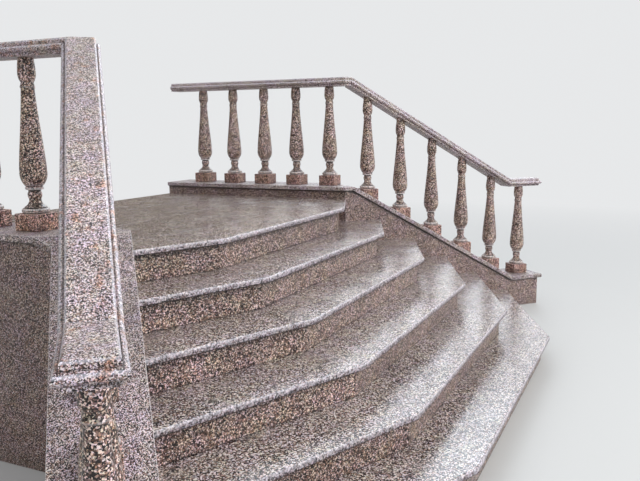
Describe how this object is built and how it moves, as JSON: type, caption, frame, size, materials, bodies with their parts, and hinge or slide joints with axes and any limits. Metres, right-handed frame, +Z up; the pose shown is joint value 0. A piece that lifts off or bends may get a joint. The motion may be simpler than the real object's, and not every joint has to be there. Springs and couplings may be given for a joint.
{
  "type": "outdoor entrance steps",
  "caption": "Fan-shaped granite entrance steps with a raised landing, low splayed side walls, turned balusters and a moulded stone handrail on both sides",
  "frame": {"origin": "on the ground, in the middle of the plan", "axes": "+X to the right for someone who faces the steps, +Y towards the house that the landing meets, +Z up"},
  "size_m": [5.6616, 3.2, 1.912],
  "materials": {
    "polished_granite": "polished speckled granite",
    "riser_granite": "honed speckled granite",
    "wall_granite": "honed speckled granite facing",
    "coping_granite": "weathered speckled granite",
    "block_granite": "sawn pink granite",
    "baluster_granite": "turned speckled granite",
    "rail_granite": "weathered mauve-grey granite",
    "core_concrete": "plain concrete"
  },
  "bodies": {
    "root": {"landing_core": "core_concrete", "step_core": "core_concrete", "landing_edging": "polished_granite", "landing_paving": "polished_granite", "riser_1": "riser_granite", "riser_2": "riser_granite", "riser_3": "riser_granite", "riser_4": "riser_granite", "riser_5": "riser_granite", "riser_6": "riser_granite", "tread_1": "polished_granite", "tread_2": "polished_granite", "tread_3": "polished_granite", "tread_4": "polished_granite", "tread_5": "polished_granite", "right_landing_wall": "wall_granite", "right_cheek_wall": "wall_granite", "right_landing_coping": "coping_granite", "right_rake_coping": "coping_granite", "right_end_coping": "coping_granite", "right_landing_blocks": "block_granite", "right_landing_balusters": "baluster_granite", "right_rake_blocks": "block_granite", "right_rake_balusters": "baluster_granite", "right_landing_rail": "rail_granite", "right_rake_rail": "rail_granite", "right_end_rail": "rail_granite", "left_landing_wall": "wall_granite", "left_cheek_wall": "wall_granite", "left_landing_coping": "coping_granite", "left_rake_coping": "coping_granite", "left_end_coping": "coping_granite", "left_landing_blocks": "block_granite", "left_landing_balusters": "baluster_granite", "left_rake_blocks": "block_granite", "left_rake_balusters": "baluster_granite", "left_landing_rail": "rail_granite", "left_rake_rail": "rail_granite", "left_end_rail": "rail_granite"}
  },
  "joints": []
}
